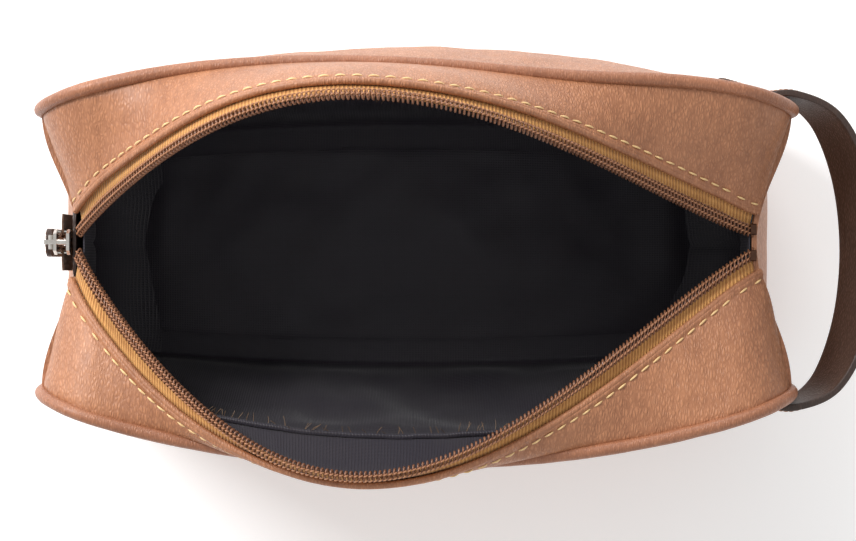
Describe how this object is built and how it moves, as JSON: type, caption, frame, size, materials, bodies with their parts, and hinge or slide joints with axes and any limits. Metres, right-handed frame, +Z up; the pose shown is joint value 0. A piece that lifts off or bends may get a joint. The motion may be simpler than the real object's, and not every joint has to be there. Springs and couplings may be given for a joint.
{
  "type": "toiletry bag",
  "caption": "Zipped leather wash bag standing open: padded piped panels, gusset, woven lining, coil zip with slider and pull, and a strap handle at one end.",
  "frame": {"origin": "Under the middle of the base, on the surface the bag stands on.", "axes": "+X to the bag's right, away from the zip slider and towards the handle; +Y to the back panel; +Z up."},
  "size_m": [0.2935, 0.1485, 0.1735],
  "materials": {
    "leather_tan": "tan pebbled leather, semi-matt",
    "leather_dark": "dark brown smooth leather, slight sheen",
    "lining_cloth": "near-black brown woven nylon lining",
    "foam": "closed-cell foam, hidden",
    "board": "stiff plastic board, hidden",
    "piping_core": "plain cord, hidden",
    "zip_tape": "golden brown ribbed zip tape",
    "zip_coil": "dark brown nylon coil",
    "zip_metal": "nickel-plated die casting"
  },
  "bodies": {
    "bag": {"back_panel": "leather_tan", "base_board": "board", "base_gusset": "leather_tan", "bottom_stop": "zip_metal", "end_gusset_left": "leather_tan", "end_gusset_right": "leather_tan", "end_tab": "leather_dark", "front_panel": "leather_tan", "handle_end_back": "leather_dark", "handle_end_front": "leather_dark", "lining_back": "lining_cloth", "lining_base": "lining_cloth", "lining_end_left": "lining_cloth", "lining_end_right": "lining_cloth", "lining_front": "lining_cloth", "panel_padding_back": "foam", "panel_padding_front": "foam", "piping_cord_back": "piping_core", "piping_cord_front": "piping_core", "piping_cover_back": "leather_tan", "piping_cover_front": "leather_tan", "strip_lining_back": "lining_cloth", "strip_lining_front": "lining_cloth", "tail_coil_back": "zip_coil", "tail_coil_front": "zip_coil", "tail_tape_back": "zip_tape", "tail_tape_front": "zip_tape", "top_strip_back": "leather_tan", "top_strip_front": "leather_tan"},
    "mouth_back": {"zip_tape_back": "zip_tape", "zip_coil_back": "zip_coil", "top_stop_back": "zip_metal"},
    "mouth_front": {"zip_tape_front": "zip_tape", "zip_coil_front": "zip_coil", "top_stop_front": "zip_metal"},
    "slider": {"slider_body": "zip_metal", "slider_bridge": "zip_metal"},
    "pull": {"pull_link": "zip_metal", "pull_tab": "leather_dark", "pull_rivet": "zip_metal"},
    "handle": {"handle_strap": "leather_dark"}
  },
  "joints": [
    {"name": "mouth_back_lean", "type": "hinge", "parent": "bag", "child": "mouth_back", "pos_m": [0, 0, 0.097], "axis": [1, 0, 0], "range_deg": [0, 9], "deforming": ["top_strip_back", "strip_lining_back"]},
    {"name": "mouth_front_lean", "type": "hinge", "parent": "bag", "child": "mouth_front", "pos_m": [0, 0, 0.097], "axis": [1, 0, 0], "range_deg": [-14, 0], "deforming": ["top_strip_front", "strip_lining_front"]},
    {"name": "slider_travel", "type": "slide", "parent": "bag", "child": "slider", "axis": [0, 0, 1], "range_m": [-0.012, 0]},
    {"name": "pull_swing", "type": "hinge", "parent": "slider", "child": "pull", "pos_m": [-0.1289, 0, 0.0946], "axis": [0, 1, 0], "range_deg": [0, 150]},
    {"name": "handle_flex", "type": "hinge", "parent": "bag", "child": "handle", "pos_m": [0.1275, 0, 0.088], "axis": [0, 1, 0], "range_deg": [-25, 25], "stiffness_Nm_per_rad": 0.05}
  ]
}
